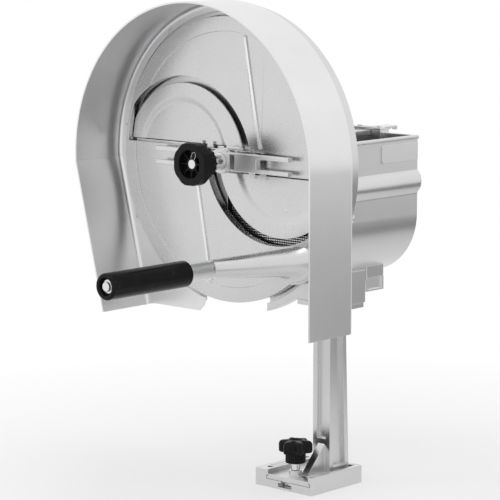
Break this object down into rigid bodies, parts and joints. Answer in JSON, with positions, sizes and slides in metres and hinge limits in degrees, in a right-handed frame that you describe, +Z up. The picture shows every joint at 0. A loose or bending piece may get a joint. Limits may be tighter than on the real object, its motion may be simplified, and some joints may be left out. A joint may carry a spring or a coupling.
{
  "type": "hand crank vegetable slicer",
  "caption": "Hand cranked disc slicer on a clamped column: hooded cutter disc with knives, adjustable gauge plates and a crank grip, feed hopper with pusher behind.",
  "frame": {"origin": "centre of the base bracket's underside, on the counter", "axes": "+Z up, -Y toward the crank side, +Y toward the feed hopper, +X toward the column side of the hood"},
  "size_m": [0.35, 0.389, 0.52],
  "materials": {
    "cast": "satin cast",
    "polished": "polished cast",
    "sheet": "brushed sheet",
    "steel": "turned",
    "blade": "ground",
    "bronze": "turned",
    "black": "moulded",
    "grip_black": "moulded"
  },
  "bodies": {
    "base": {"base_bracket": "cast"},
    "stand": {"column": "cast", "t_nut": "steel", "housing": "cast", "column_screws": "steel", "hood": "sheet", "hood_screws": "steel", "hopper": "cast", "hopper_screws": "steel", "name_plate": "sheet", "latch_bracket": "sheet", "latch_screws": "steel", "bush_front": "bronze", "bush_rear": "bronze", "pusher_keeper": "sheet", "keeper_screws": "steel"},
    "clamp": {"clamp_stud": "steel", "clamp_knob": "black"},
    "disc": {"main_shaft": "steel", "shaft_screws": "steel", "shaft_washer": "steel", "shaft_nut": "steel", "cutter_disc": "polished", "knife_upper": "blade", "knife_lower": "blade", "knife_screws": "steel", "handle_spindle": "steel", "ferrule": "steel", "grip_screw": "steel"},
    "handle": {"grip": "grip_black"},
    "gauge": {"gauge_plate_upper": "polished", "gauge_plate_lower": "polished", "gauge_screws": "steel", "adjusting_arm": "polished", "hub_sleeve": "steel"},
    "knob": {"adjusting_knob": "black", "knob_retainer": "steel"},
    "pusher": {"pusher_plate": "black", "pusher_bar": "steel", "pusher_handle": "sheet", "pusher_screws": "steel"}
  },
  "joints": [
    {"name": "foot_slide", "type": "slide", "parent": "base", "child": "stand", "axis": [0, -1, 0], "range_m": [0, 0.03]},
    {"name": "clamp_turn", "type": "hinge", "parent": "stand", "child": "clamp", "pos_m": [0.002, -0.024, 0.02], "axis": [0, 0, 1], "range_deg": [0, 360]},
    {"name": "disc_spin", "type": "hinge", "parent": "stand", "child": "disc", "pos_m": [-0.115, 0, 0.345], "axis": [0, -1, 0], "continuous": true},
    {"name": "grip_spin", "type": "hinge", "parent": "disc", "child": "handle", "pos_m": [-0.095, -0.15, 0.2315], "axis": [0, -1, 0], "continuous": true},
    {"name": "gauge_slide", "type": "slide", "parent": "disc", "child": "gauge", "axis": [0, -1, 0], "range_m": [-0.002, 0.0075]},
    {"name": "knob_turn", "type": "hinge", "parent": "gauge", "child": "knob", "pos_m": [-0.115, -0.05, 0.345], "axis": [0, -1, 0], "range_deg": [-241, 901]},
    {"name": "pusher_slide", "type": "slide", "parent": "stand", "child": "pusher", "axis": [0, 1, 0], "range_m": [0, 0.11]}
  ],
  "couplings": [
    {"joint": "knob_turn", "follows": "gauge_slide", "rad_per_m": 2094.4}
  ]
}
